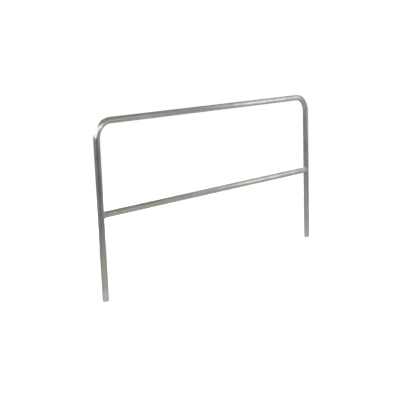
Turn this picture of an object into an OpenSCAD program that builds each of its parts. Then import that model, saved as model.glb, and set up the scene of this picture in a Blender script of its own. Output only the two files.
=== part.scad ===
// Two-rail barrier section: a bent tube frame with a welded mid rail and plugged leg ends.
// X runs along the rails, Y through the frame and Z up, with the origin on the ground
// midway between the legs.

/* [Overall size] */
// Length over the outsides of the two legs
overall_length = 2006; // [900:1:3000]
// Height from the ground to the top of the top rail
overall_height = 1066.8; // [750:0.1:1500]

/* [Tube] */
// Outside diameter of the tube, the same in the frame and in the mid rail
tube_od = 38.1; // [25:0.1:60]
// Wall thickness of the tube
tube_wall = 3.2; // [1.5:0.1:5]
// Radius of the two top bends, to the tube's centre line
bend_radius = 105; // [60:1:250]

/* [Mid rail] */
// Height of the mid rail's centre line above the ground
mid_rail_height = 510; // [150:1:850]
// Gap left between the saddle cut and the leg, for the weld to root in
root_gap = 0.4; // [0.2:0.1:1.5]

/* [Weld] */
// Leg length of the weld bead in the corners above and below the rail
bead_leg = 4.5; // [3:0.1:7]
// Half of the bead's width at the joint's sides, where the two tubes run flush
bead_side = 2.8; // [1.5:0.1:5]
// Height of the bead at the joint's sides
bead_crown = 1.8; // [0.5:0.1:3]

/* [End plug] */
// Thickness of the plug's foot below the end of the tube
foot_thickness = 4; // [3:0.5:12]
// Radius of the rounded lower edge of the foot
foot_edge_radius = 2.4; // [0.5:0.1:2.8]
// Length of the stem inside the tube
stem_length = 26; // [16:1:80]
// Wall thickness of the hollow stem
stem_wall = 2; // [1:0.1:4]
// How far the stem's ring fins stand out from the stem
fin_height = 1.6; // [0.5:0.1:2.5]
// Thickness of one ring fin
fin_thickness = 1.2; // [0.8:0.1:2]
// Number of ring fins on a stem
fin_count = 3; // [2:1:4]
// Gap between the fins and the tube's bore
fin_clearance = 0.1; // [0.05:0.05:0.5]

/* [Hidden] */

$fn = 96;
overshoot = 1;

outer_r = tube_od / 2;
bore_r = outer_r - tube_wall;

leg_x = overall_length / 2 - outer_r;
top_rail_z = overall_height - outer_r;
bend_x = leg_x - bend_radius;
bend_z = top_rail_z - bend_radius;

// The saddle is cut round the leg's axis, one root gap larger than the leg
saddle_r = outer_r + root_gap;

// At each side of the joint its edge turns back with this radius, which limits the bead there
seam_turn_r = sqrt(saddle_r * saddle_r - outer_r * outer_r);
side_width = min(bead_side, 0.8 * seam_turn_r);
// Height of the bead over the corner, as a share of its leg length
corner_crown = 0.85;
bead_steps = 48;
crown_steps = 4;
bead_points = crown_steps + 3;
// The bead's flat facets lie just outside the tubes, and touch them in their middles
bead_seat_r = outer_r / cos(180 / bead_steps);

stem_r = bore_r - fin_clearance - fin_height;
fin_r = bore_r - fin_clearance;
fin_pitch = stem_length / (fin_count + 1);

metal = [0.66, 0.67, 0.65];
weld_metal = [0.52, 0.53, 0.52];
plug_plastic = [0.56, 0.56, 0.56];

// ---- shapes ----

module ring(length) {
    linear_extrude(height = length)
        difference() {
            circle(r = outer_r);
            circle(r = bore_r);
        }
}

// A straight tube along +X, from x = 0
module rail_tube(length) {
    rotate([0, 90, 0])
        ring(length);
}

// The tube's corner on the +X side, turning from vertical to horizontal
module right_bend() {
    translate([bend_x, 0, bend_z])
        rotate([90, 0, 0])
            rotate_extrude(angle = 90)
                translate([bend_radius, 0])
                    difference() {
                        circle(r = outer_r);
                        circle(r = bore_r);
                    }
}

module right_leg() {
    translate([leg_x, 0, foot_thickness])
        ring(bend_z - foot_thickness);
}

// A point of the joint's edge, where the rail's outside meets the saddle cut, seen from
// the leg's axis: turn is the angle round the rail from its top
function seam_point(turn) =
    [-sqrt(saddle_r * saddle_r - pow(outer_r * sin(turn), 2)),
     outer_r * sin(turn),
     outer_r * cos(turn)];

function unit(v) = v / norm(v);

function seam_direction(turn) = unit(seam_point(turn + 0.5) - seam_point(turn - 0.5));

// The nearest directions square to the leg's and to the rail's surface
function leg_normal(p) = unit([p.x, p.y, 0]);
function rail_normal(p) = unit([0, p.y, p.z]);

// The same point moved out to the leg's or the rail's surface
function on_leg(p) = bead_seat_r * leg_normal(p) + [0, 0, p.z];
function on_rail(p) = bead_seat_r * rail_normal(p) + [p.x, 0, 0];

// From 0 in the corners above and below the rail to 1 at the joint's sides
function sideness(turn) = pow(sin(turn), 2);
function blend(corner, side, turn) = corner + (side - corner) * sideness(turn);

// One point of the bead's section: the root on the seam, then the crown as a quadratic
// curve from the leg to the rail, and last a point on the rail back towards the root
function bead_point(turn, j) =
    let (root = seam_point(turn),
         along = seam_direction(turn),
         width = blend(bead_leg, side_width, turn),
         crown = blend(corner_crown * bead_leg, bead_crown, turn),
         leg_toe = on_leg(root + width * unit(cross(along, leg_normal(root)))),
         rail_toe = on_rail(root + width * unit(cross(rail_normal(root), along))),
         middle = root + crown * unit(leg_normal(root) + rail_normal(root)),
         pull = 2 * middle - (leg_toe + rail_toe) / 2,
         t = (j - 1) / crown_steps)
    j == 0 ? on_rail(root) :
    j == bead_points - 1 ? on_rail((root + rail_toe) / 2) :
    pow(1 - t, 2) * leg_toe + 2 * t * (1 - t) * pull + t * t * rail_toe;

// The weld at the right leg: one closed ring of bead, swept round the joint's edge
module rail_weld() {
    points = [
        for (i = [0 : bead_steps - 1], j = [0 : bead_points - 1])
            bead_point(360 * i / bead_steps, j)
    ];
    quads = [
        for (i = [0 : bead_steps - 1], j = [0 : bead_points - 1])
            let (next_i = (i + 1) % bead_steps, next_j = (j + 1) % bead_points)
            [i * bead_points + j, next_i * bead_points + j,
             next_i * bead_points + next_j, i * bead_points + next_j]
    ];
    triangles = [
        for (q = quads, half = [0, 1])
            half == 0 ? [q[0], q[1], q[2]] : [q[0], q[2], q[3]]
    ];
    translate([leg_x, 0, mid_rail_height])
        polyhedron(points = points, faces = triangles);
}

// Half of the foot's section: flat on both sides, with a round lower edge
module foot_profile() {
    intersection() {
        union() {
            translate([0, foot_edge_radius])
                square([outer_r, foot_thickness]);
            square([outer_r - foot_edge_radius, foot_thickness]);
            translate([outer_r - foot_edge_radius, foot_edge_radius])
                circle(r = foot_edge_radius);
        }
        square([outer_r, foot_thickness]);
    }
}

module end_plug() {
    translate([leg_x, 0, 0]) {
        rotate_extrude()
            foot_profile();
        difference() {
            union() {
                translate([0, 0, foot_thickness - overshoot])
                    cylinder(r = stem_r, h = stem_length + overshoot);
                for (i = [1 : fin_count])
                    translate([0, 0, foot_thickness + i * fin_pitch - fin_thickness / 2])
                        cylinder(r = fin_r, h = fin_thickness);
            }
            translate([0, 0, foot_thickness])
                cylinder(r = stem_r - stem_wall, h = stem_length + overshoot);
        }
    }
}

module on_the_left() {
    mirror([1, 0, 0])
        children();
}

// ---- the pieces ----

module frame_tube() {
    color(metal) {
        right_leg();
        right_bend();
        on_the_left() right_leg();
        on_the_left() right_bend();
        translate([-bend_x, 0, top_rail_z])
            rail_tube(2 * bend_x);
    }
}

module mid_rail() {
    color(metal)
        translate([0, 0, mid_rail_height])
            difference() {
                translate([-leg_x, 0, 0])
                    rail_tube(2 * leg_x);
                for (side = [-1, 1])
                    translate([side * leg_x, 0, -tube_od])
                        cylinder(r = saddle_r, h = 2 * tube_od);
            }
}

module right_rail_weld() {
    color(weld_metal) rail_weld();
}

module left_rail_weld() {
    color(weld_metal) on_the_left() rail_weld();
}

module right_end_plug() {
    color(plug_plastic) end_plug();
}

module left_end_plug() {
    color(plug_plastic) on_the_left() end_plug();
}

frame_tube();
mid_rail();
left_rail_weld();
right_rail_weld();
left_end_plug();
right_end_plug();
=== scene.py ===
"""Crowd control barrier: one bent aluminium tube, a welded mid rail and two end plugs.

Laid out as a Blender add-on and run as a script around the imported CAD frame.
Every surface is a function of two numbers, worked out as whole numpy arrays.
"""
import math

import bpy
import numpy as np
from bpy.props import FloatProperty, FloatVectorProperty, IntProperty, PointerProperty
from mathutils import Matrix, Vector


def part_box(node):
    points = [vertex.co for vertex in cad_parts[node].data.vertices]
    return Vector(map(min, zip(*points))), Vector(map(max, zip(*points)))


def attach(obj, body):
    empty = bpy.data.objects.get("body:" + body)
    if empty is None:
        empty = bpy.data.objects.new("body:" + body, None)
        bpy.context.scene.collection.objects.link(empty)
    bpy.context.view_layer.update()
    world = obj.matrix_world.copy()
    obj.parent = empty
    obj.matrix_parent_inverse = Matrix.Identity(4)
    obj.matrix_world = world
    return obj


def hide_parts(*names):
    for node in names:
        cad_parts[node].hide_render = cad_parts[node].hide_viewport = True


bl_info = {
    "name": "Crowd control barrier",
    "version": (1, 0, 0),
    "blender": (4, 5, 0),
    "location": "3D View > Sidebar > Barrier",
    "description": "Builds a two-rail aluminium barrier frame with welds and end plugs",
    "category": "Add Mesh",
}

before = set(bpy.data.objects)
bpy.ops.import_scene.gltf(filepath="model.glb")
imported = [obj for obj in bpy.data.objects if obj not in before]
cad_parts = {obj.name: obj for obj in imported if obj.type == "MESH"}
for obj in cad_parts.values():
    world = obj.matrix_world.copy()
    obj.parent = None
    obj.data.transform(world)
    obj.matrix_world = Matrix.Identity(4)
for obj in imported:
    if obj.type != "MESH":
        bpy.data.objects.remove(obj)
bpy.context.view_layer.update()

MM = 0.001
TURN = 2 * math.pi
QUARTER = math.pi / 2

TUBE_LOW, TUBE_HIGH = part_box("frame_tube")
RAIL_LOW, RAIL_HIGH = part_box("mid_rail")
TUBE_RADIUS = (TUBE_HIGH.y - TUBE_LOW.y) / 2
LEG_X = TUBE_HIGH.x - TUBE_RADIUS
TOP_RAIL_Z = TUBE_HIGH.z - TUBE_RADIUS
MID_RAIL_Z = (RAIL_LOW.z + RAIL_HIGH.z) / 2
FOOT_TOP_Z = TUBE_LOW.z


# Sizes, finishes and detail that a user would change

def length(name, description, default):
    """A length property in metres."""
    return FloatProperty(
        name=name, description=description, default=default, min=0.0,
        precision=5, subtype="DISTANCE", unit="LENGTH",
    )


def share(name, description, default, high=1.0):
    """A number from 0 to high."""
    return FloatProperty(name=name, description=description, default=default, min=0.0, max=high)


def colour(name, description, default):
    """A linear colour property."""
    return FloatVectorProperty(
        name=name, description=description, default=default, size=3, min=0.0, max=1.0, subtype="COLOR",
    )


class BarrierSizes(bpy.types.PropertyGroup):
    """Sizes of the bent tube and the mid rail"""

    tube_radius: length("Tube radius", "Outer radius of both tubes", TUBE_RADIUS)
    wall: length("Wall", "Wall thickness of both tubes", 3.2 * MM)
    leg_x: length("Leg offset", "Distance of each leg's axis from the middle", LEG_X)
    top_rail_z: length("Top rail height", "Height of the top rail's axis", TOP_RAIL_Z)
    mid_rail_z: length("Mid rail height", "Height of the mid rail's axis", MID_RAIL_Z)
    bend_radius: length("Bend radius", "Radius of each bend's centre line", 105 * MM)
    bend_ease: share("Bend ease", "Share of a bend in which it tightens or straightens", 0.16, 0.4)
    leg_start_z: length("Tube end height", "Height of the tube's cut ends", FOOT_TOP_Z)
    root_gap: length("Root gap", "Gap between the mid rail's coped end and the leg", 0.4 * MM)
    edge_break: length("Edge break", "Width of the deburred edge at the cut ends", 0.5 * MM)
    flattening: share("Bend flattening", "Share by which the tube goes oval in its bends", 0.018, 0.1)
    bend_waves: length("Bend waves", "Depth of the faint waves inside each bend", 0.05 * MM)
    wave_pitch: length("Wave pitch", "Distance between two waves inside a bend", 11 * MM)


class WeldSizes(bpy.types.PropertyGroup):
    """Sizes of the two weld beads"""

    leg_width: length("Width at the corners", "Width of the bead at its top and bottom", 4.5 * MM)
    side_width: length("Width at the sides", "Width of the bead at its sides", 2.8 * MM)
    side_crown: length("Crown at the sides", "Height of the bead's crown at its sides", 1.8 * MM)
    corner_share: share("Crown at the corners", "Crown height there as a share of the width", 0.85)
    ripple_pitch: length("Ripple pitch", "Distance between two ripples along the seam", 2.2 * MM)
    ripple_depth: length("Ripple depth", "Depth of the valley between two ripples", 0.32 * MM)


class PlugSizes(bpy.types.PropertyGroup):
    """Sizes of the two end plugs"""

    foot_radius: length("Foot radius", "Outer radius of the plug's foot", TUBE_RADIUS)
    foot_thickness: length("Foot thickness", "Height of the plug's foot below the tube", 4 * MM)
    foot_edge: length("Foot edge radius", "Rounding of the foot's lower edge", 2.4 * MM)
    stem_radius: length("Stem radius", "Outer radius of the stem inside the tube", 14.15 * MM)
    stem_bore: length("Stem bore", "Inner radius of the hollow stem", 12.15 * MM)
    stem_top: length("Stem top", "Height of the stem's open end", 30 * MM)
    stem_rim: length("Stem rim", "Chamfer round the stem's bore and its open end", 0.6 * MM)
    fins: IntProperty(name="Fins", description="Number of gripping fins", default=3, min=1)
    first_fin: length("First fin", "Height of the first fin above the foot", 3.5 * MM)
    fin_radius: length("Fin radius", "Outer radius of the gripping fins", 15.75 * MM)
    fin_thickness: length("Fin thickness", "Thickness of one fin", 1.2 * MM)
    fin_pitch: length("Fin pitch", "Distance between two fins", 6.5 * MM)
    edge_break: length("Edge break", "Chamfer of the fins and of the foot's upper edge", 0.25 * MM)
    dimple: length("Gate dimple", "Depth of the dimple under the foot", 0.7 * MM)
    dimple_radius: length("Dimple radius", "Radius of the dimple's flat floor", 5 * MM)
    gate_radius: length("Gate radius", "Radius of the gate mark in the dimple's middle", 1.2 * MM)


class Finish(bpy.types.PropertyGroup):
    """Colours of the metal, the welds and the plugs"""

    bright: colour("Clean aluminium", "Colour of the cleanest drawn metal", (0.60, 0.603, 0.595))
    clouded: colour("Clouded aluminium", "Colour where the oxide is thickest", (0.50, 0.502, 0.492))
    olive: colour("Olive cast", "Colour of the faint olive stains", (0.54, 0.555, 0.465))
    # Painted reflection: this lighter colour on the lowest part of each leg stands in for the white floor
    # mirrored there.
    floor_reflection: colour("Painted floor reflection", "Colour of the painted floor reflection at the tube ends", (0.74, 0.74, 0.73))
    brushed: colour("Brushed metal", "Colour of the metal cleaned round the joints", (0.66, 0.66, 0.64))
    soot: colour("Weld soot", "Colour of the soot beside the welds", (0.30, 0.30, 0.285))
    scratched: colour("Scratches", "Colour of a fresh scratch", (0.78, 0.78, 0.77))
    weld_light: colour("Ripple crest", "Colour of the weld's crests", (0.56, 0.56, 0.55))
    weld_dark: colour("Ripple valley", "Colour between the weld's ripples", (0.23, 0.23, 0.22))
    plug: colour("Plug plastic", "Colour of the end plugs", (0.30, 0.305, 0.30))
    plug_worn: colour("Scuffed plastic", "Colour where the plugs are scuffed", (0.42, 0.42, 0.41))


class Detail(bpy.types.PropertyGroup):
    """How finely the surfaces are divided"""

    around: IntProperty(name="Steps around", description="Faces round each tube", default=96, min=24)
    straight_step: length("Ring spacing, straight", "Spacing of rings on straight tube", 28 * MM)
    bend_step: length("Ring spacing, bends", "Spacing of rings in the bends", 2.6 * MM)
    weld_steps: IntProperty(name="Weld rings", description="Rings along a weld", default=600, min=60)
    crown_steps: IntProperty(name="Crown points", description="Points over a bead", default=14, min=6)


class Stage(bpy.types.PropertyGroup):
    """Camera and floor"""

    camera_place: FloatVectorProperty(
        name="Camera place", description="Where the camera stands", size=3,
        default=(-3.929, -3.626, 1.471), subtype="TRANSLATION", unit="LENGTH",
    )
    heading: FloatProperty(
        name="Heading", description="Direction of view from +Y towards +X",
        default=math.radians(46.1), subtype="ANGLE", unit="ROTATION",
    )
    tilt: FloatProperty(
        name="Tilt", description="How far the camera looks down",
        default=math.radians(10.87), subtype="ANGLE", unit="ROTATION",
    )
    roll: FloatProperty(
        name="Roll", description="How far the camera leans",
        default=math.radians(-2.03), subtype="ANGLE", unit="ROTATION",
    )
    lens: FloatProperty(name="Lens", description="Focal length in millimetres", default=74.35, min=1.0)
    floor_radius: length("Floor radius", "Where the floor has faded out", 4.5)
    floor_full: length("Floor solid radius", "Where the floor starts to fade", 1.6)
    floor_glow: share("Floor glow", "Light that the floor gives off by itself", 0.75, 2.0)
    floor_colour: colour("Floor", "Colour of the pale floor", (0.86, 0.86, 0.86))


# Surfaces

BEND_POINTS = 801
# How far a flattened bend swells sideways, as a share of the flattening
SWELLING = 0.6
# Where the mid rail's draw lines start: it is cut from another length of tube
RAIL_LAY_START = 5.0


def running_sum(value, place=None):
    """Area under the values up to each one, by trapezia."""
    step = 1.0 if place is None else np.diff(place)
    return np.concatenate([[0], np.cumsum((value[1:] + value[:-1]) / 2 * step)])


def bend_line(sizes):
    """Centre line of the right bend from the top rail down: distance, turn, way across, way down.

    The curvature rises evenly over the ease's share of the bend, holds at one over the bend radius,
    and falls evenly over the last such share. The turn is its running sum, and the ways across and
    down are the running sums of the turn's cosine and sine.
    """
    part = np.linspace(0, 1, BEND_POINTS)
    curvature = np.clip(np.minimum(part, 1 - part) / sizes.bend_ease, 0, 1)
    turned = running_sum(curvature)
    turned *= QUARTER / turned[-1]
    distance = part * QUARTER * sizes.bend_radius / (1 - sizes.bend_ease)
    across = running_sum(np.cos(turned), distance)
    down = running_sum(np.sin(turned), distance)
    return distance, turned, across, down


def bend_ends(sizes):
    """Distances from the top rail's middle to the bend's start, its end and the tube's cut end."""
    distance, _, across, down = bend_line(sizes)
    start = sizes.leg_x - across[-1]
    leg = sizes.top_rail_z - down[-1] - sizes.leg_start_z
    return start, start + distance[-1], start + distance[-1] + leg


def frame_line(distance, sizes):
    """Centre line of the bent tube at a distance from the middle of the top rail.

    Along the rail x grows with the distance, in the bend the point follows the bend's line, and
    below it z falls with the distance. The left side is the right one mirrored. Returns the points,
    the direction that points out of the frame there, and how bent the tube is from 0 to 1.
    """
    side = np.sign(distance)
    gone = np.abs(distance)
    start, end, _ = bend_ends(sizes)
    line, turn, across, down = bend_line(sizes)
    turned = np.interp(gone - start, line, turn)
    x = side * (np.minimum(gone, start) + np.interp(gone - start, line, across))
    z = sizes.top_rail_z - np.interp(gone - start, line, down) - np.clip(gone - end, 0, None)
    points = np.stack([x, 0 * x, z], -1)
    outward = np.stack([side * np.sin(turned), 0 * x, np.cos(turned)], -1)
    return points, outward, np.sin(2 * turned) ** 2


def frame_rings(sizes, detail):
    """Distances along the bent tube at which it has a ring: close in bends, wide elsewhere."""
    start, leg, end = bend_ends(sizes)
    end -= sizes.edge_break
    rail_part = np.linspace(0, start, math.ceil(start / detail.straight_step) + 1)
    bend_part = np.linspace(start, leg, math.ceil((leg - start) / detail.bend_step) + 1)
    leg_part = np.linspace(leg, end, math.ceil((end - leg) / detail.straight_step) + 1)
    right = np.concatenate([rail_part, bend_part[1:], leg_part[1:]])
    return np.concatenate([-right[:0:-1], right])


def frame_tube_surface(sizes, detail):
    """The bent tube as one closed surface over distance and angle.

    A point is the centre line plus radius times (cos angle * outward + sin angle * depth). The
    profile of distance and radius runs out along the outside, over the deburred end, back through
    the bore and over the other end. In a bend the tube is a little flatter towards the bend's
    centre and swells sideways, and its inner side carries faint waves.
    """
    outside = frame_rings(sizes, detail)
    inside = outside[::2][::-1]
    end = bend_ends(sizes)[-1]
    bore = sizes.tube_radius - sizes.wall
    rim = np.array([sizes.tube_radius - sizes.edge_break, bore + sizes.edge_break])
    distance = np.concatenate([outside, [end, end], inside, [-end, -end]])
    radius = np.concatenate([0 * outside + sizes.tube_radius, rim, 0 * inside + bore, rim[::-1]])
    centre, outward, bent = frame_line(distance, sizes)
    angle = np.arange(detail.around) * TURN / detail.around
    facing_in = np.clip(-np.cos(angle), 0, 1) ** 2
    wave = 0.5 + 0.5 * np.cos(distance * TURN / sizes.wave_pitch)
    ring = radius[:, None] - sizes.bend_waves * (bent * wave)[:, None] * facing_in
    flat = ring * (1 - sizes.flattening * bent)[:, None]
    swollen = ring * (1 + SWELLING * sizes.flattening * bent)[:, None]
    depth = np.array([0.0, 1.0, 0.0])
    points = (
        centre[:, None]
        + (flat * np.cos(angle))[..., None] * outward[:, None]
        + (swollen * np.sin(angle))[..., None] * depth
    )
    return points, lay_of(distance[:, None] + 0 * ring, radius[:, None] + 0 * ring, angle)


def lay_of(distance, radius, angle):
    """The drawn tube laid out straight, so that draw lines follow it: across, across, along."""
    return np.stack([radius * np.cos(angle), radius * np.sin(angle), distance], -1)


def mid_rail_surface(sizes, detail):
    """The mid rail as one closed surface over place and angle.

    Each end is coped to the leg: at an angle it stops where x is the leg's axis less the square
    root of (the leg's radius with the root gap) squared less (radius * sin angle) squared.
    """
    steps = math.ceil(2 * sizes.leg_x / detail.straight_step)
    place = np.sin(np.linspace(-QUARTER, QUARTER, steps + 1))
    place = np.concatenate([place, place[::-2]])
    outer = sizes.tube_radius
    bore = outer - sizes.wall
    radius = np.where(np.arange(len(place)) <= steps, outer, bore)
    angle = np.arange(detail.around) * TURN / detail.around
    saddle = sizes.tube_radius + sizes.root_gap
    reach = sizes.leg_x - np.sqrt(saddle**2 - (radius[:, None] * np.sin(angle)) ** 2)
    x = place[:, None] * reach
    across = radius[:, None] * np.sin(angle)
    height = sizes.mid_rail_z + radius[:, None] * np.cos(angle)
    points = np.stack([x, across, height], -1)
    return points, lay_of(x + RAIL_LAY_START, radius[:, None] + 0 * x, angle)


def unit(vectors):
    """Vectors of length one."""
    return vectors / np.linalg.norm(vectors, axis=-1, keepdims=True)


# The toes lie on the circle round a tube with this many flats, just clear of the tube's skin
TOE_FLATS = 48
# Where on its turn round the seam a bead starts and ends, and how far the two run over each other
OVERLAP_TURN = 0.35
OVERLAP_REACH = 0.16
# How far the ripples wander from an even beat, slowly and quickly, in ripples
SLOW_WANDER = 0.22
QUICK_WANDER = 0.12
# By what share the bead narrows here and there, and between two ripples
WIDTH_WANDER = 0.07
WIDTH_BEAT = 0.03
# What share of that narrowing the crown's height follows
CROWN_SHARE = 0.1
# How far a ripple lags at the toes, in ripples, and how much is cut away where nothing overlaps
TOE_LAG = 0.9
PLAIN_CUT = 0.25
# Powers of the sines that shape a ripple: low ones make narrow valleys and a broad, even crown
VALLEY_POWER = 0.6
CROWN_POWER = 0.7
ROOT_DEPTH = 0.4 * MM


def swing(angle):
    """A slow change from 0 to 1 and back, once a turn: half of one plus the sine."""
    return 0.5 + 0.5 * np.sin(angle)


def weld_seam(sizes, turn, outer):
    """Where the mid rail's outside meets the leg's, and the ways out of the leg and the rail there.

    At a turn the seam's x is less the square root of (the leg's radius with the root gap) squared
    less (outer * sin turn) squared, and its y and z are outer times the turn's sin and cos.
    """
    saddle = sizes.tube_radius + sizes.root_gap
    depth, height = outer * np.sin(turn), outer * np.cos(turn)
    seam = np.stack([-np.sqrt(saddle**2 - depth**2), depth, height], -1)
    return seam, unit(seam * [1, 1, 0]), unit(seam * [0, 1, 1])


def weld_beat(weld, seam, turn, side):
    """How many ripples each turn has passed: a whole number round the seam, with two sines' wander."""
    around = np.linalg.norm(np.roll(seam, -1, axis=0) - seam, axis=1).sum()
    even = round(around / weld.ripple_pitch) * turn / TURN
    return even + SLOW_WANDER * np.sin(3 * turn + 1.0) + QUICK_WANDER * np.sin(7 * turn + side)


def weld_valleys(beat, turn, part):
    """How deep in a valley and how far up the crown each point is, and how much is cut away there.

    A ripple is a crescent that lags behind by the square of the way to a toe. The valley is one
    less a low power of its sine, and the crown a low power of the sine of the way across.
    """
    lag = TOE_LAG * (2 * part - 1) ** 2
    ripple = np.abs(np.sin(math.pi * ((beat[:, None] - lag) % 1)))
    valley = 1 - ripple**VALLEY_POWER
    crown = np.sin(math.pi * part) ** CROWN_POWER
    from_overlap = (turn - OVERLAP_TURN + math.pi) % TURN - math.pi
    overlap = np.exp(-((from_overlap / OVERLAP_REACH) ** 2))
    return valley * crown, crown * (valley + PLAIN_CUT * (1 - overlap[:, None]))


def weld_surface(sizes, weld, detail, side):
    """A fillet weld as one closed surface over the turn round the seam and the way across the bead.

    From each seam point one toe lies on the leg and one on the mid rail, a bead's width away, and a
    quadratic curve between them, pulled out until its middle stands at the crown's height, makes
    the bead's face. Ripples are cut into the crown, never raised above it. The bead is widest at
    its top and bottom corners and narrowest at its sides, by the turn's sine squared.
    """
    turn = np.arange(detail.weld_steps) * TURN / detail.weld_steps
    outer = sizes.tube_radius / math.cos(math.pi / TOE_FLATS)
    seam, leg_out, rail_out = weld_seam(sizes, turn, outer)
    along = unit(np.roll(seam, -1, axis=0) - np.roll(seam, 1, axis=0))
    lift = unit(leg_out + rail_out)
    beat = weld_beat(weld, seam, turn, side)
    narrow = 1 - WIDTH_WANDER * swing(5 * turn + 2 * side) - WIDTH_BEAT * swing(TURN * beat)

    flank = np.sin(turn) ** 2
    width = (weld.leg_width + (weld.side_width - weld.leg_width) * flank) * narrow
    leg_toe = seam + width[:, None] * unit(np.cross(along, leg_out))
    rail_toe = seam + width[:, None] * unit(np.cross(rail_out, along))
    leg_toe[:, :2] = unit(leg_toe[:, :2]) * outer
    rail_toe[:, 1:] = unit(rail_toe[:, 1:]) * outer
    corner_crown = weld.corner_share * weld.leg_width
    height = (corner_crown + (weld.side_crown - corner_crown) * flank) * (1 - CROWN_SHARE * (1 - narrow))
    pull = 2 * (seam + height[:, None] * lift) - (leg_toe + rail_toe) / 2

    part = np.linspace(0, 1, detail.crown_steps)[None]
    groove, cut = weld_valleys(beat, turn, part)
    part = part[..., None]
    face = (1 - part) ** 2 * leg_toe[:, None] + part**2 * rail_toe[:, None]
    face = face + 2 * part * (1 - part) * pull[:, None]
    face = face - weld.ripple_depth * cut[..., None] * lift[:, None]
    root = seam - ROOT_DEPTH * lift
    back = np.stack([(rail_toe + root) / 2, root, (leg_toe + root) / 2], 1)
    points = np.concatenate([face, back], 1)
    points = points * [side, 1, 1] + [side * sizes.leg_x, 0, sizes.mid_rail_z]
    groove = np.concatenate([groove, np.zeros(back.shape[:2])], 1)
    return points, np.stack([groove, 0 * groove + side, turn[:, None] + 0 * groove], -1)


# Shape of the moulded gate mark and its dimple: their sloping edges' widths and the mark's depth
# as a share of the dimple's
GATE_SLOPE = 0.4 * MM
DIMPLE_SLOPE = 1.2 * MM
GATE_DEPTH = 0.6


def plug_profile(plug):
    """Half section of the end plug as radius and height, from under its middle to the hollow's floor.

    The foot's lower edge is a quarter circle. The stem carries thin fins that taper outwards, and
    ends in a chamfered rim round its bore.
    """
    foot, edge, top, rim = plug.foot_radius, plug.foot_edge, plug.foot_thickness, plug.stem_rim
    quarter = np.linspace(0, QUARTER, 9)
    rounded = np.stack([foot - edge + edge * np.sin(quarter), edge - edge * np.cos(quarter)], -1)
    rows = [
        [(plug.gate_radius, plug.dimple * GATE_DEPTH), (plug.gate_radius + GATE_SLOPE, plug.dimple)],
        [(plug.dimple_radius, plug.dimple), (plug.dimple_radius + DIMPLE_SLOPE, 0.0)],
        [(2 * plug.dimple_radius, 0.0)],
        rounded,
        [(foot, top - plug.edge_break), (foot - plug.edge_break, top), (plug.stem_radius, top)],
    ]
    for number in range(plug.fins):
        low = top + plug.first_fin + number * plug.fin_pitch
        high = low + plug.fin_thickness
        rows.append([
            (plug.stem_radius, low), (plug.fin_radius, low + plug.edge_break),
            (plug.fin_radius, high - plug.edge_break), (plug.stem_radius, high),
        ])
    rows.append([
        (plug.stem_radius, plug.stem_top - rim), (plug.stem_radius - rim, plug.stem_top),
        (plug.stem_bore + rim, plug.stem_top), (plug.stem_bore, plug.stem_top - rim),
        (plug.stem_bore, top + rim), (plug.stem_bore - rim, top),
    ])
    return np.concatenate(rows)


def plug_surface(plug, detail, place_x):
    """The plug's half section turned round the leg's axis.

    x and y are the radius times the angle's cos and sin, and two poles close its ends.
    """
    profile = plug_profile(plug)
    angle = np.arange(detail.around) * TURN / detail.around
    radius, height = profile[:, :1], profile[:, 1:]
    points = np.stack([
        place_x + radius * np.cos(angle),
        radius * np.sin(angle),
        height + 0 * angle,
    ], -1)
    poles = np.array([[place_x, 0, plug.dimple * GATE_DEPTH], [place_x, 0, plug.foot_thickness]])
    return points, lay_of(height + 0 * angle, radius + 0 * angle, angle), poles


# Meshes

# Faces that meet at a sharper angle than this keep a crisp edge
CRISP_ANGLE = math.radians(38)


def grid_faces(rings, around, looped):
    """Corner numbers of the quads between neighbouring rings and neighbouring angles."""
    ring = np.arange(rings if looped else rings - 1)[:, None]
    step = np.arange(around)[None, :]
    after, beside = (ring + 1) % rings, (step + 1) % around
    return np.stack([
        ring * around + step, ring * around + beside, after * around + beside, after * around + step,
    ], -1).reshape(-1, 4)


def signed_volume(points, faces):
    """Six times the volume inside the quads, positive when they face outwards."""
    a, b, c, d = (points[faces[:, k]] for k in range(4))
    first = np.einsum("ij,ij->i", a, np.cross(b, c))
    second = np.einsum("ij,ij->i", a, np.cross(c, d))
    return (first + second).sum()


def lay_uv(lay, faces):
    """UV of each corner: the distance along the lay and the way round it, both in metres.

    Where a face crosses the line at which the angle starts again, a whole turn is added.
    """
    radius = np.hypot(lay[:, 0], lay[:, 1])[faces]
    angle = np.arctan2(lay[:, 1], lay[:, 0])[faces]
    angle = angle + TURN * (angle < angle.max(1, keepdims=True) - math.pi)
    return np.stack([lay[:, 2][faces], radius.mean(1, keepdims=True) * angle], -1)


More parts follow.
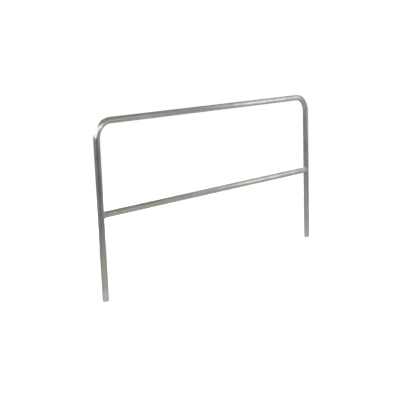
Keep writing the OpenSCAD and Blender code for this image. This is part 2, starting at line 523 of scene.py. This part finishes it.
def build_piece(name, points, lay, material, node, poles=None):
    """Makes one finished piece from its grid of points and stands it in for its CAD node.

    Its rings join up in a loop, or a pole closes the first and another the last.
    """
    rings, around = points.shape[:2]
    flat, lay = points.reshape(-1, 3), lay.reshape(-1, 3)
    faces = grid_faces(rings, around, poles is None)
    caps = []
    if poles is not None:
        step = np.arange(around)
        beside = (step + 1) % around
        last = (rings - 1) * around
        first_pole, last_pole = 0 * step + len(flat), 0 * step + len(flat) + 1
        caps = [
            np.stack([first_pole, beside, step], -1),
            np.stack([last_pole, last + step, last + beside], -1),
        ]
        flat = np.concatenate([flat, poles])
        lay = np.concatenate([lay, [[0, 0, poles[0, 2]], [0, 0, poles[1, 2]]]])
    if signed_volume(flat - flat.mean(0), faces) < 0:
        faces = faces[:, ::-1]
        caps = [cap[:, ::-1] for cap in caps]
    every_face = faces.tolist() + [corner for cap in caps for corner in cap.tolist()]
    mesh = bpy.data.meshes.new(name)
    mesh.from_pydata(flat.tolist(), [], every_face)
    mesh.polygons.foreach_set("use_smooth", np.ones(len(every_face), bool))
    layer = mesh.uv_layers.new(name="lay_uv")
    uv = [lay_uv(lay, part).reshape(-1, 2) for part in [faces, *caps]]
    layer.data.foreach_set("uv", np.concatenate(uv).astype(np.float32).ravel())
    attribute = mesh.attributes.new("lay", "FLOAT_VECTOR", "POINT")
    attribute.data.foreach_set("vector", lay.astype(np.float32).ravel())
    mesh.set_sharp_from_angle(angle=CRISP_ANGLE)
    mesh.materials.append(material)
    mesh.update()
    piece = bpy.data.objects.new(name, mesh)
    bpy.context.scene.collection.objects.link(piece)
    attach(piece, "root")
    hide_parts(node)


# Finishes

# How many times a pattern repeats in a metre: one number for every way, or across, across and
# along for patterns that follow the drawn tube
FINE_LINES = (1500, 1500, 9)
BROAD_BANDS = (330, 330, 2.6)
CLOUDS = 11.0
RAGGED_EDGES = 14.0
METAL_GRAIN = 900.0
LONG_SCRATCHES = (160, 160, 14)
CROSS_SCRATCHES = (90, 60, 70)
SCRATCH_PATCHES = 9.0
BEAD_CLOUDS = 160.0
BEAD_GRIT = 1400.0
SPARK_TEXTURE = 2600.0
PLASTIC_CLOUDS = 120.0
SCUFFS = 420.0

# How far the two kinds of scratch lean from the tube, in radians
LONG_LEAN = (0.10, 0.07, 0.0)
CROSS_LEAN = (0.4, 0.9, 0.2)
# Width of a scratch in its noise, and how softly a scratched patch ends
SCRATCH_WIDTH = 0.006
SCRATCH_PATCH_EDGE = 0.06

# Depths in metres
LINE_DEPTH = 0.02 * MM
BAND_DEPTH = 0.06 * MM
GRAIN_DEPTH = 0.006 * MM
SCRATCH_DEPTH = 0.03 * MM
GRIT_DEPTH = 0.06 * MM
BEAD_DEPTH = 0.2 * MM
SPARK_DEPTH = 0.03 * MM
SCUFF_DEPTH = 0.04 * MM

# Roughness of the tube from cleanest to most clouded, and what draw lines, brushing and scratches
# add to it
TUBE_ROUGHNESS = (0.29, 0.34)
LINE_ROUGHNESS = (-0.008, 0.02)
BRUSHED_ROUGHNESS = 0.08
SCRATCH_ROUGHNESS = 0.05

# How strongly the colours of the brushed metal, the soot and the scratches show
BRUSHED_SHOWS = 0.3
SOOT_SHOWS = 0.4
SCRATCHES_SHOW = 0.2

# Distances from a joint's corner: where the brushed metal and the soot start to
# fade, where each is gone, and how far that wanders
JOINT_CLEAR = 18 * MM
BRUSHED_REACH = 65 * MM
SOOT_REACH = 42 * MM
JOINT_WANDER = 7 * MM


class Recipe:
    """A material under construction: most methods add one node and return its output."""

    def __init__(self, name):
        self.material = bpy.data.materials.get(name) or bpy.data.materials.new(name)
        self.material.use_nodes = True
        self.nodes = self.material.node_tree.nodes
        self.links = self.material.node_tree.links
        self.nodes.clear()
        self.shader = self.add("ShaderNodeBsdfPrincipled")
        self.output = self.add("ShaderNodeOutputMaterial")
        self.show(self.shader.outputs["BSDF"])

    def add(self, kind, **settings):
        """Adds a node of that kind with those settings, and returns the node itself."""
        node = self.nodes.new(kind)
        for key, value in settings.items():
            setattr(node, key, value)
        return node

    def feed(self, socket, value):
        """Links an output to the socket, or sets a number, a place or a colour on it."""
        if isinstance(value, bpy.types.NodeSocket):
            self.links.new(value, socket)
        elif hasattr(socket.default_value, "__len__"):
            socket.default_value = [*value, 1.0][:len(socket.default_value)]
        else:
            socket.default_value = value

    def place(self):
        """The place of each point in metres."""
        return self.add("ShaderNodeTexCoord").outputs["Object"]

    def lay(self):
        """The place of each point on the tube laid out straight."""
        return self.add("ShaderNodeAttribute", attribute_name="lay").outputs["Vector"]

    def stretch(self, vector, scale, turned=(0, 0, 0)):
        """A place turned and scaled before a pattern reads it."""
        node = self.add("ShaderNodeMapping")
        self.feed(node.inputs["Vector"], vector)
        self.feed(node.inputs["Scale"], scale)
        self.feed(node.inputs["Rotation"], turned)
        return node.outputs["Vector"]

    def noise(self, vector, scale, detail=3.0, rough=0.5):
        """A soft noise around 0.5."""
        node = self.add("ShaderNodeTexNoise")
        self.feed(node.inputs["Vector"], vector)
        node.inputs["Scale"].default_value = scale
        node.inputs["Detail"].default_value = detail
        node.inputs["Roughness"].default_value = rough
        return node.outputs["Fac"]

    def span(self, value, low, high, to_low=0.0, to_high=1.0, smooth=True):
        """Maps low to high onto two other values, and holds them beyond."""
        node = self.add("ShaderNodeMapRange", interpolation_type="SMOOTHSTEP" if smooth else "LINEAR")
        self.feed(node.inputs["Value"], value)
        limits = {"From Min": low, "From Max": high, "To Min": to_low, "To Max": to_high}
        for key, number in limits.items():
            node.inputs[key].default_value = number
        return node.outputs["Result"]

    def spread(self, noise, to_low, to_high, smooth=False):
        """Spreads a noise's usual range, 0.3 to 0.7, over two values."""
        return self.span(noise, 0.3, 0.7, to_low, to_high, smooth)

    def distance(self, vector, place):
        """How far a point is from a fixed place."""
        node = self.add("ShaderNodeVectorMath", operation="DISTANCE")
        self.feed(node.inputs[0], vector)
        node.inputs[1].default_value = place
        return node.outputs["Value"]

    def math(self, operation, first, second=0.0):
        """One sum on two numbers or outputs."""
        node = self.add("ShaderNodeMath", operation=operation)
        self.feed(node.inputs[0], first)
        self.feed(node.inputs[1], second)
        return node.outputs["Value"]

    def blend(self, factor, first, second):
        """Two colours mixed: the node's sockets 6 and 7 and its output 2 are the ones for colour."""
        node = self.add("ShaderNodeMix", data_type="RGBA")
        self.feed(node.inputs["Factor"], factor)
        self.feed(node.inputs[6], first)
        self.feed(node.inputs[7], second)
        return node.outputs[2]

    def bump(self, height, distance, strength, under=None):
        """Tilts the surface by a height pattern, on top of the bump under it."""
        node = self.add("ShaderNodeBump")
        self.feed(node.inputs["Height"], height)
        node.inputs["Distance"].default_value = distance
        node.inputs["Strength"].default_value = strength
        if under is not None:
            self.feed(node.inputs["Normal"], under)
        return node.outputs["Normal"]

    def show(self, shader):
        """Links a shader's output to the surface, in the place of the one before."""
        self.links.new(shader, self.output.inputs["Surface"])

    def scratches(self, vector, scale, turned, density):
        """Thin lines where a long stretched noise passes its middle, kept in a few places."""
        field = self.noise(self.stretch(vector, scale, turned), 1.0, 1.0)
        line = self.math("ABSOLUTE", self.math("SUBTRACT", field, 0.5))
        thin = self.span(line, 0.0, SCRATCH_WIDTH, 1.0, 0.0)
        patches = self.noise(vector, SCRATCH_PATCHES, 2.0)
        where = self.span(patches, density, density + SCRATCH_PATCH_EDGE)
        return self.math("MULTIPLY", thin, where)


# Where the olive stains lie, and where a painted floor reflection lightens the tube ends: place
# along the frame as a share of the leg offset, rail or height in metres, reach in metres, and strength
STAINS = (
    (-1.0, 0.20, 0.15, 0.9),
    (-0.86, "top", 0.15, 0.7),
    (-0.27, "top", 0.16, 0.7),
    (-0.64, "mid", 0.36, 1.0),
    (0.30, "mid", 0.15, 0.6),
    (1.0, 0.38, 0.20, 0.4),
)
# Painted reflection: lighter spots at the foot of each leg that stand in for the mirrored white floor.
FLOOR_REFLECTION_SPOTS = (
    (-1.0, 0.0, 0.085, 1.0),
    (1.0, 0.0, 0.045, 1.0),
)
# Share of a spot's reach that is full strength, and by what share its ragged edge wanders
SPOT_CORE = 0.3
SPOT_WANDER = 0.35


def spots(recipe, rows, place, ragged, sizes):
    """How far each point lies in one of these spots, from 0 to 1, with ragged edges."""
    heights = {"top": sizes.top_rail_z, "mid": sizes.mid_rail_z}
    total = 0.0
    for across, height, reach, strength in rows:
        middle = (across * sizes.leg_x, 0.0, heights.get(height, height))
        wander = recipe.spread(ragged, -SPOT_WANDER * reach, SPOT_WANDER * reach)
        wavy = recipe.math("ADD", recipe.distance(place, middle), wander)
        spot = recipe.span(wavy, SPOT_CORE * reach, reach, strength, 0.0)
        total = recipe.math("MAXIMUM", total, spot)
    return total


def drawn_colour(recipe, finish, sizes, place, cloud, fine, broad):
    """Colour of the drawn metal away from the joints: clouded, stained, lightened at the leg ends by a
    painted floor reflection, then lined.
    """
    ragged = recipe.noise(place, RAGGED_EDGES, 4.0, 0.6)
    base = recipe.blend(recipe.span(cloud, 0.36, 0.68), finish.bright, finish.clouded)
    base = recipe.blend(spots(recipe, STAINS, place, ragged, sizes), base, finish.olive)
    # Painted reflection: the leg ends get a lighter colour that stands in for the mirrored white floor.
    base = recipe.blend(spots(recipe, FLOOR_REFLECTION_SPOTS, place, ragged, sizes), base, finish.floor_reflection)
    lined = recipe.add("ShaderNodeVectorMath", operation="SCALE")
    recipe.feed(lined.inputs[0], base)
    tone = recipe.math("MULTIPLY", recipe.spread(fine, 0.9, 1.06), recipe.spread(broad, 0.93, 1.05))
    recipe.feed(lined.inputs["Scale"], tone)
    return lined.outputs[0]


def joint_zone(recipe, sizes, place, cloud):
    """Wavy distance of each point from the nearest joint's inner corner.

    All four joints' corners are one, because the place is taken without its signs.
    """
    corner = (sizes.leg_x - sizes.tube_radius, 0.0, sizes.mid_rail_z)
    mirrored = recipe.add("ShaderNodeVectorMath", operation="ABSOLUTE")
    recipe.feed(mirrored.inputs[0], place)
    reach = recipe.distance(mirrored.outputs[0], corner)
    return recipe.math("ADD", reach, recipe.spread(cloud, -JOINT_WANDER, JOINT_WANDER))


def aluminium(finish, sizes):
    """Mill-finish drawn tube: draw lines, clouded oxide, olive stains, scratches, heat marks and a painted
    floor reflection at the leg ends.
    """
    recipe = Recipe("satin_aluminium_tube")
    lay, place = recipe.lay(), recipe.place()
    fine = recipe.noise(recipe.stretch(lay, FINE_LINES), 1.0, 3.0, 0.6)
    broad = recipe.noise(recipe.stretch(lay, BROAD_BANDS), 1.0, 2.0)
    cloud = recipe.noise(place, CLOUDS, 5.0, 0.6)
    grain = recipe.noise(place, METAL_GRAIN, 2.0)
    wavy = joint_zone(recipe, sizes, place, cloud)
    brushed = recipe.span(wavy, JOINT_CLEAR, BRUSHED_REACH, 1.0, 0.0)
    soot = recipe.span(wavy, JOINT_CLEAR, SOOT_REACH, 1.0, 0.0)
    marks = recipe.math(
        "MAXIMUM",
        recipe.scratches(lay, LONG_SCRATCHES, LONG_LEAN, 0.56),
        recipe.scratches(place, CROSS_SCRATCHES, CROSS_LEAN, 0.58),
    )

    colour = drawn_colour(recipe, finish, sizes, place, cloud, fine, broad)
    colour = recipe.blend(recipe.math("MULTIPLY", brushed, BRUSHED_SHOWS), colour, finish.brushed)
    colour = recipe.blend(recipe.math("MULTIPLY", soot, SOOT_SHOWS), colour, finish.soot)
    colour = recipe.blend(recipe.math("MULTIPLY", marks, SCRATCHES_SHOW), colour, finish.scratched)

    rough = recipe.spread(cloud, *TUBE_ROUGHNESS, smooth=True)
    rough = recipe.math("ADD", rough, recipe.spread(fine, *LINE_ROUGHNESS, smooth=True))
    rough = recipe.math("ADD", rough, recipe.math("MULTIPLY", brushed, BRUSHED_ROUGHNESS))
    rough = recipe.math("ADD", rough, recipe.math("MULTIPLY", marks, SCRATCH_ROUGHNESS))

    normal = recipe.bump(fine, LINE_DEPTH, 0.6)
    normal = recipe.bump(broad, BAND_DEPTH, 0.4, normal)
    normal = recipe.bump(grain, GRAIN_DEPTH, 0.3, normal)
    normal = recipe.bump(recipe.math("SUBTRACT", 1.0, marks), SCRATCH_DEPTH, 0.3, normal)

    shader = recipe.shader
    shader.inputs["Metallic"].default_value = 1.0
    shader.inputs["Anisotropic"].default_value = 0.9
    shader.inputs["Anisotropic Rotation"].default_value = 0.25
    tangent = recipe.add("ShaderNodeTangent", direction_type="UV_MAP", uv_map="lay_uv")
    recipe.feed(shader.inputs["Tangent"], tangent.outputs["Tangent"])
    recipe.feed(shader.inputs["Base Color"], colour)
    recipe.feed(shader.inputs["Roughness"], rough)
    recipe.feed(shader.inputs["Normal"], normal)
    return recipe.material


def weld_metal(finish):
    """Unpolished weld bead: pale crests, dark valleys and toes, a little grit in the surface."""
    recipe = Recipe("rippled_weld_metal")
    place = recipe.place()
    split = recipe.add("ShaderNodeSeparateXYZ")
    recipe.feed(split.inputs[0], recipe.lay())
    valley = recipe.span(split.outputs["X"], 0.05, 0.8)
    cloud = recipe.noise(place, BEAD_CLOUDS, 4.0, 0.6)
    grit = recipe.noise(place, BEAD_GRIT, 3.0, 0.6)
    dark = recipe.math("MAXIMUM", valley, recipe.span(cloud, 0.52, 0.72, 0.0, 0.6))
    normal = recipe.bump(cloud, BEAD_DEPTH, 0.5, recipe.bump(grit, GRIT_DEPTH, 0.7))
    shader = recipe.shader
    shader.inputs["Metallic"].default_value = 1.0
    recipe.feed(shader.inputs["Base Color"], recipe.blend(dark, finish.weld_light, finish.weld_dark))
    recipe.feed(shader.inputs["Roughness"], recipe.spread(cloud, 0.34, 0.52, smooth=True))
    recipe.feed(shader.inputs["Normal"], normal)
    return recipe.material


def plug_plastic(finish):
    """Moulded plastic: fine spark texture and paler scuffs in a few places."""
    recipe = Recipe("moulded_plug_plastic")
    place = recipe.place()
    texture = recipe.noise(place, SPARK_TEXTURE, 2.0)
    cloud = recipe.noise(place, PLASTIC_CLOUDS, 4.0, 0.6)
    scuff = recipe.noise(recipe.stretch(place, (1, 1, 4)), SCUFFS, 3.0, 0.7)
    worn = recipe.math("MULTIPLY", recipe.span(scuff, 0.55, 0.7), recipe.span(cloud, 0.4, 0.6))
    normal = recipe.bump(worn, SCUFF_DEPTH, 0.6, recipe.bump(texture, SPARK_DEPTH, 0.8))
    shader = recipe.shader
    recipe.feed(shader.inputs["Base Color"], recipe.blend(worn, finish.plug, finish.plug_worn))
    recipe.feed(shader.inputs["Roughness"], recipe.spread(cloud, 0.48, 0.64, smooth=True))
    recipe.feed(shader.inputs["Normal"], normal)
    return recipe.material


# Stage

# Height of the lights' common aim, brightness of the surround, and width of a card's soft edge
WORKING_HEIGHT = 0.8
SURROUND = 0.36
CARD_EDGE = 0.8
FLOOR_CARD_LIFT = 4 * MM
CARDS = (
    # name, compass turn from +X and lift above level in degrees, distance, width, height, and how
    # much brighter than the surround
    ("left_card", -163, 29, 5.0, 1.6, 4.4, 5.4),
    ("front_card", -100, 30, 5.0, 2.2, 1.6, 3.7),
    ("right_card", -20, 30, 5.0, 2.0, 1.6, 1.0),
    ("right_low_card", -60, 4, 5.0, 1.8, 0.9, 1.5),
    ("back_card", 114, 22, 5.0, 4.2, 2.4, 5.5),
    ("fill_card", -144, 8, 5.0, 2.2, 1.8, 0.6),
)
STRIPS = (
    # the same for the two narrow strips that draw the highlights along the rails
    ("right_strip", -36, 6, 3.85, 0.3, 1.6, 3.3),
    ("far_right_strip", -32, 6, 5.5, 0.5, 1.6, 1.5),
)
FLOOR_CARDS = (
    # name, middle in x and y, length in x and y, and how much brighter than the surround
    ("floor_bounce", 0.6, -0.3, 5.2, 1.8, 0.22),
    ("right_bounce", 2.4, -0.8, 1.6, 0.8, 0.60),
)
# The black card in front of the left leg: its middle, its size and its turn from +X in degrees
FLAG_MIDDLE = (-1.75, -1.0, 0.62)
FLAG_SIZE = (0.80, 0.84)
FLAG_TURN = -39
# The backdrop's dome: its radius, the glow that makes it white, and its rings and spokes
DOME_RADIUS = 40.0
DOME_GLOW = 1.02
DOME_RINGS, DOME_SPOKES = 24, 48
DOME_POLE_GAP = 0.02
WHITE = (1.0, 1.0, 1.0, 1.0)


def floor_material(stage):
    """Pale paper that fades into the backdrop with its distance from the middle."""
    recipe = Recipe("pale_floor")
    shader = recipe.shader
    shader.inputs["Base Color"].default_value = (*stage.floor_colour, 1.0)
    shader.inputs["Roughness"].default_value = 0.9
    shader.inputs["Emission Color"].default_value = WHITE
    shader.inputs["Emission Strength"].default_value = stage.floor_glow
    recipe.material.cycles.emission_sampling = "NONE"
    far = recipe.distance(recipe.place(), (0.0, 0.0, 0.0))
    mix = recipe.add("ShaderNodeMixShader")
    recipe.feed(mix.inputs["Fac"], recipe.span(far, stage.floor_full, stage.floor_radius))
    recipe.links.new(shader.outputs["BSDF"], mix.inputs[1])
    recipe.links.new(recipe.add("ShaderNodeBsdfTransparent").outputs["BSDF"], mix.inputs[2])
    recipe.show(mix.outputs["Shader"])
    return recipe.material


def glow_material(name, brightness, fade=None):
    """White light. With a fade, it falls to the surround's over that share of each half side.

    Rays have to find it by themselves, which suits a wide, soft source.
    """
    recipe = Recipe(name)
    strength = brightness
    if fade is not None:
        split = recipe.add("ShaderNodeSeparateXYZ")
        recipe.feed(split.inputs[0], recipe.add("ShaderNodeUVMap", uv_map="across").outputs["UV"])
        sides = [recipe.math("PINGPONG", split.outputs[axis], 0.5) for axis in "XY"]
        sides = [recipe.span(side, 0.0, part / 2) for side, part in zip(sides, fade)]
        inside = recipe.math("MULTIPLY", *sides)
        strength = recipe.span(inside, 0.0, 1.0, SURROUND, brightness, smooth=False)
    glow = recipe.add("ShaderNodeEmission")
    glow.inputs["Color"].default_value = WHITE
    recipe.feed(glow.inputs["Strength"], strength)
    recipe.show(glow.outputs["Emission"])
    recipe.material.cycles.emission_sampling = "NONE"
    return recipe.material


def black_cloth():
    """Black cloth that gives next to no light back."""
    recipe = Recipe("black_cloth")
    recipe.shader.inputs["Base Color"].default_value = (0.01, 0.01, 0.01, 1.0)
    recipe.shader.inputs["Roughness"].default_value = 1.0
    return recipe.material


def stage_surface(name, points, faces, material):
    """A stage object from plain arrays."""
    mesh = bpy.data.meshes.new(name)
    mesh.from_pydata(points.tolist(), [], faces.tolist())
    mesh.materials.append(material)
    made = bpy.data.objects.new(name, mesh)
    bpy.context.scene.collection.objects.link(made)
    return made


def stage_card(name, matrix, width, height, material):
    """A flat card of that size in the matrix's XY plane."""
    corners = np.array([[-1, -1, 0], [1, -1, 0], [1, 1, 0], [-1, 1, 0]]) * [width / 2, height / 2, 0]
    points = corners @ np.array(matrix.to_3x3()).T + np.array(matrix.translation)
    return stage_surface(name, points, np.array([[0, 1, 2, 3]]), material)


def hide_from(thing, *rays):
    """Makes a stage object invisible to these kinds of ray."""
    for kind in rays:
        setattr(thing, f"visible_{kind}", False)


def dome(radius):
    """Points and faces of a sphere over lift and turn, open by a hair at each pole."""
    steep = QUARTER - DOME_POLE_GAP
    lift = np.linspace(-steep, steep, DOME_RINGS)[:, None]
    turn = np.arange(DOME_SPOKES)[None] * TURN / DOME_SPOKES
    level = np.cos(lift)
    points = np.stack([level * np.cos(turn), level * np.sin(turn), np.sin(lift) + 0 * turn], -1)
    return radius * points.reshape(-1, 3), grid_faces(DOME_RINGS, DOME_SPOKES, False)


def facing_matrix(turn, lift, distance):
    """A place that far out and up from the lights' aim, as a matrix with -Z at the aim and X level."""
    turn, lift = math.radians(turn), math.radians(lift)
    aim = Vector((0, 0, WORKING_HEIGHT))
    level = distance * math.cos(lift)
    out = Vector((level * math.cos(turn), level * math.sin(turn), distance * math.sin(lift)))
    return Matrix.Translation(aim + out) @ (-out).to_track_quat("-Z", "Y").to_matrix().to_4x4()


def strip_light(name, matrix, width, height, brightness):
    """A lamp of that size, as bright per area as brightness says, that the camera doesn't see."""
    light = bpy.data.lights.new(name, "AREA")
    light.shape = "RECTANGLE"
    light.size, light.size_y = width, height
    light.energy = brightness * math.pi * width * height
    lamp = bpy.data.objects.new(name, light)
    lamp.matrix_world = matrix
    hide_from(lamp, "camera")
    bpy.context.scene.collection.objects.link(lamp)


def glowing_card(name, matrix, width, height, brightness):
    """A card, brighter than the surround, which the metal mirrors and the camera doesn't see.

    It fades out over a soft edge, half of which lies outside its size.
    """
    wide, high = width + CARD_EDGE, height + CARD_EDGE
    fade = (2 * CARD_EDGE / wide, 2 * CARD_EDGE / high)
    card = stage_card(name, matrix, wide, high, glow_material(name, SURROUND + brightness, fade))
    card.data.uv_layers.new(name="across")
    hide_from(card, "camera", "shadow")


def place_backdrop(stage):
    """The pale floor, which nothing mirrors, and the white dome, which only the camera sees."""
    side = 2 * stage.floor_radius
    floor = stage_card("floor", Matrix(), side, side, floor_material(stage))
    hide_from(floor, "glossy")
    glow = glow_material("white_backdrop", DOME_GLOW)
    backdrop = stage_surface("backdrop", *dome(DOME_RADIUS), glow)
    hide_from(backdrop, "diffuse", "glossy", "transmission", "volume_scatter", "shadow")


def place_lights():
    """The cards and strips round the barrier, the bright cards on the floor and the surround."""
    for rows, make in ((CARDS, glowing_card), (STRIPS, strip_light)):
        for name, turn, lift, distance, width, height, brightness in rows:
            make(name, facing_matrix(turn, lift, distance), width, height, brightness)
    for name, x, y, width, depth, brightness in FLOOR_CARDS:
        glowing_card(name, Matrix.Translation((x, y, FLOOR_CARD_LIFT)), width, depth, brightness)
    world = bpy.data.worlds.new("soft_surround")
    world.use_nodes = True
    world.node_tree.nodes["Background"].inputs["Color"].default_value = WHITE
    world.node_tree.nodes["Background"].inputs["Strength"].default_value = SURROUND
    world.cycles.sampling_method = "NONE"
    bpy.context.scene.world = world


def place_flag():
    """The upright black card that keeps the left leg's middle dark. Only mirrors see it."""
    upright = Matrix.Rotation(math.radians(FLAG_TURN), 4, "Z") @ Matrix.Rotation(QUARTER, 4, "X")
    matrix = Matrix.Translation(FLAG_MIDDLE) @ upright
    flag = stage_card("black_flag", matrix, *FLAG_SIZE, black_cloth())
    hide_from(flag, "camera", "diffuse", "transmission", "volume_scatter", "shadow")


def place_camera(stage):
    """The camera at its place, turned by its heading, tilt and roll."""
    lens = bpy.data.cameras.new("camera")
    lens.lens, lens.sensor_width = stage.lens, 36.0
    lens.clip_start, lens.clip_end = 0.1, 100.0
    camera = bpy.data.objects.new("camera", lens)
    camera.matrix_world = (
        Matrix.Translation(stage.camera_place)
        @ Matrix.Rotation(-stage.heading, 4, "Z")
        @ Matrix.Rotation(QUARTER - stage.tilt, 4, "X")
        @ Matrix.Rotation(stage.roll, 4, "Z")
    )
    bpy.context.scene.collection.objects.link(camera)
    bpy.context.scene.camera = camera


# Operators

class BARRIER_OT_frame_tube(bpy.types.Operator):
    """Build the bent frame tube with its two legs, two bends and top rail"""

    bl_idname = "barrier.frame_tube"
    bl_label = "Frame tube"

    def execute(self, context):
        scene = context.scene
        points, lay = frame_tube_surface(scene.barrier_sizes, scene.barrier_detail)
        finish = aluminium(scene.barrier_finish, scene.barrier_sizes)
        build_piece("bent_frame_tube", points, lay, finish, "frame_tube")
        return {"FINISHED"}


class BARRIER_OT_mid_rail(bpy.types.Operator):
    """Build the mid rail, coped at both ends to fit the legs"""

    bl_idname = "barrier.mid_rail"
    bl_label = "Mid rail"

    def execute(self, context):
        scene = context.scene
        points, lay = mid_rail_surface(scene.barrier_sizes, scene.barrier_detail)
        finish = aluminium(scene.barrier_finish, scene.barrier_sizes)
        build_piece("coped_mid_rail", points, lay, finish, "mid_rail")
        return {"FINISHED"}


class BARRIER_OT_welds(bpy.types.Operator):
    """Build the two rippled fillet welds between the mid rail and the legs"""

    bl_idname = "barrier.welds"
    bl_label = "Welds"

    def execute(self, context):
        scene = context.scene
        finish = weld_metal(scene.barrier_finish)
        for name, side in (("left", -1), ("right", 1)):
            points, lay = weld_surface(scene.barrier_sizes, scene.barrier_weld, scene.barrier_detail, side)
            build_piece(f"{name}_rippled_weld", points, lay, finish, f"{name}_rail_weld")
        return {"FINISHED"}


class BARRIER_OT_plugs(bpy.types.Operator):
    """Build the two moulded plugs that close the legs"""

    bl_idname = "barrier.plugs"
    bl_label = "End plugs"

    def execute(self, context):
        scene = context.scene
        finish = plug_plastic(scene.barrier_finish)
        for name, side in (("left", -1), ("right", 1)):
            place_x = side * scene.barrier_sizes.leg_x
            points, lay, poles = plug_surface(scene.barrier_plug, scene.barrier_detail, place_x)
            build_piece(
                f"{name}_moulded_plug", points, lay, finish, f"{name}_end_plug", poles,
            )
        return {"FINISHED"}


class BARRIER_OT_stage(bpy.types.Operator):
    """Set up the floor, the backdrop, the soft lights and the camera"""

    bl_idname = "barrier.stage"
    bl_label = "Stage"

    def execute(self, context):
        stage = context.scene.barrier_stage
        place_backdrop(stage)
        place_lights()
        place_flag()
        place_camera(stage)
        context.scene.view_settings.view_transform = "Standard"
        return {"FINISHED"}


class VIEW3D_PT_barrier(bpy.types.Panel):
    """Lists the operators that build the barrier"""

    bl_label = "Crowd control barrier"
    bl_idname = "VIEW3D_PT_barrier"
    bl_space_type = "VIEW_3D"
    bl_region_type = "UI"
    bl_category = "Barrier"

    def draw(self, context):
        for operator in OPERATORS:
            self.layout.operator(operator.bl_idname)


OPERATORS = (
    BARRIER_OT_frame_tube, BARRIER_OT_mid_rail, BARRIER_OT_welds, BARRIER_OT_plugs, BARRIER_OT_stage,
)
GROUPS = {
    "barrier_sizes": BarrierSizes,
    "barrier_weld": WeldSizes,
    "barrier_plug": PlugSizes,
    "barrier_finish": Finish,
    "barrier_detail": Detail,
    "barrier_stage": Stage,
}


def register():
    """Registers the property groups, the operators and the panel."""
    for name, group in GROUPS.items():
        bpy.utils.register_class(group)
        setattr(bpy.types.Scene, name, PointerProperty(type=group))
    for kind in (*OPERATORS, VIEW3D_PT_barrier):
        bpy.utils.register_class(kind)


def unregister():
    """Takes back everything that register did."""
    for kind in reversed((*OPERATORS, VIEW3D_PT_barrier)):
        bpy.utils.unregister_class(kind)
    for name, group in GROUPS.items():
        delattr(bpy.types.Scene, name)
        bpy.utils.unregister_class(group)


def main():
    register()
    bpy.ops.barrier.frame_tube()
    bpy.ops.barrier.mid_rail()
    bpy.ops.barrier.welds()
    bpy.ops.barrier.plugs()
    bpy.ops.barrier.stage()


if __name__ == "__main__":
    main()
